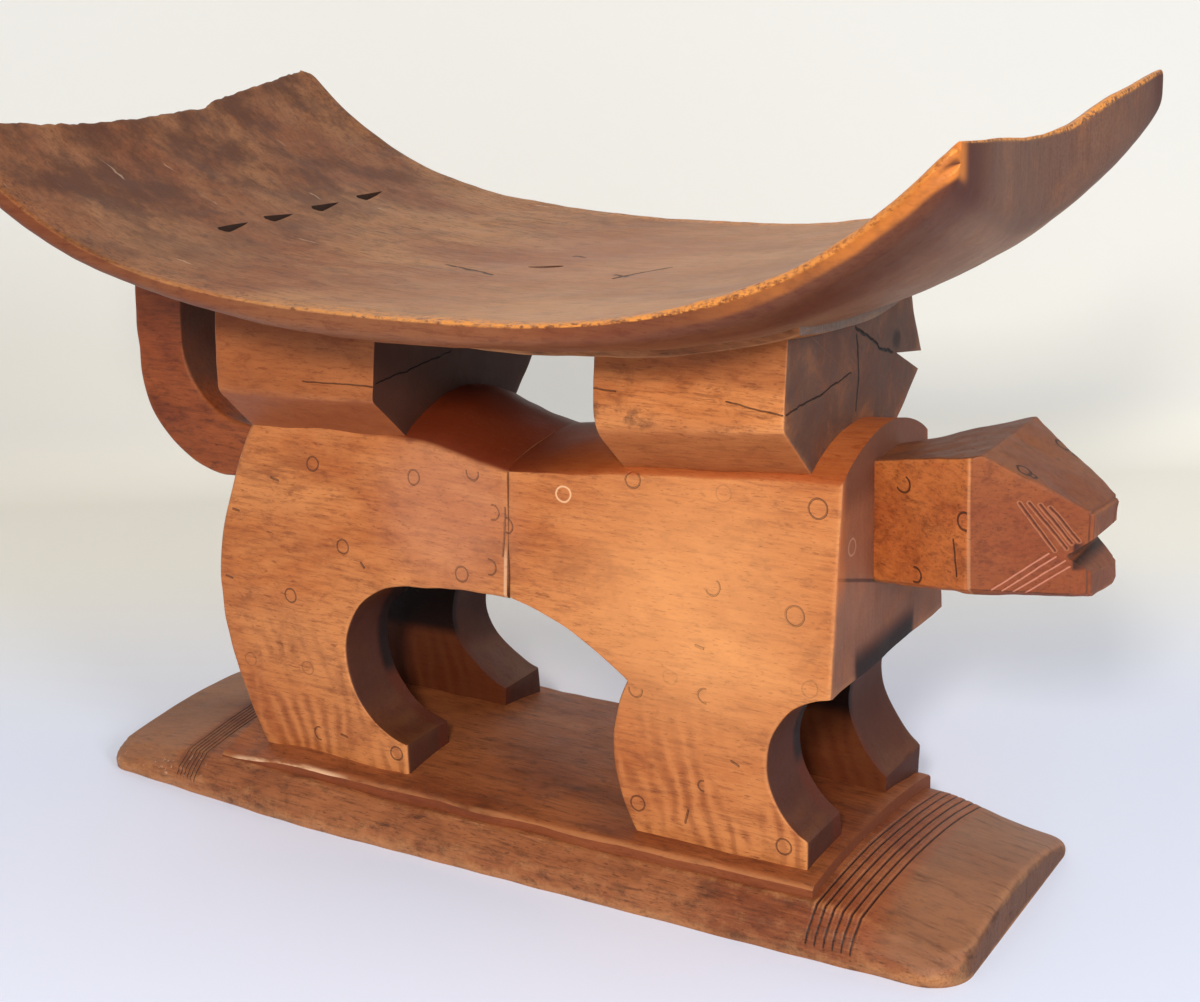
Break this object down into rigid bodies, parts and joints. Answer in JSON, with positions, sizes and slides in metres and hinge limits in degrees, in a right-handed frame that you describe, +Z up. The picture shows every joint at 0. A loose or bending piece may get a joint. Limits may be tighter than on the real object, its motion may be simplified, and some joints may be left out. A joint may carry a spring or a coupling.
{
  "type": "carved wooden stool",
  "caption": "Asante-style stool: a curved, dished seat carried on the back of a carved leopard that stands on a long crowned base board.",
  "frame": {"origin": "on the floor, under the middle of the stool's overall length and width", "axes": "+X along the stool toward the leopard's head, +Y toward the leopard's left side, +Z up"},
  "size_m": [0.5948, 0.3112, 0.4128],
  "materials": {
    "seat_wood": "worn, smooth from use",
    "pad_wood": "matt, unfinished",
    "block_wood": "matt, unfinished",
    "body_wood": "matt, unfinished",
    "head_wood": "matt, unfinished",
    "base_wood": "worn, matt",
    "dowel_wood": "plain"
  },
  "bodies": {
    "root": {"base": "base_wood", "plinth": "base_wood", "hindquarters": "body_wood", "forequarters": "body_wood", "head": "head_wood", "tail": "head_wood", "rear_block": "block_wood", "front_block": "block_wood", "seat_pad": "pad_wood", "seat": "seat_wood", "foot_dowels": "dowel_wood", "body_dowels": "dowel_wood", "seat_dowels": "dowel_wood", "waist_dowels": "dowel_wood", "neck_dowels": "dowel_wood", "tail_root_dowel": "dowel_wood", "tail_tip_dowel": "dowel_wood"}
  },
  "joints": []
}
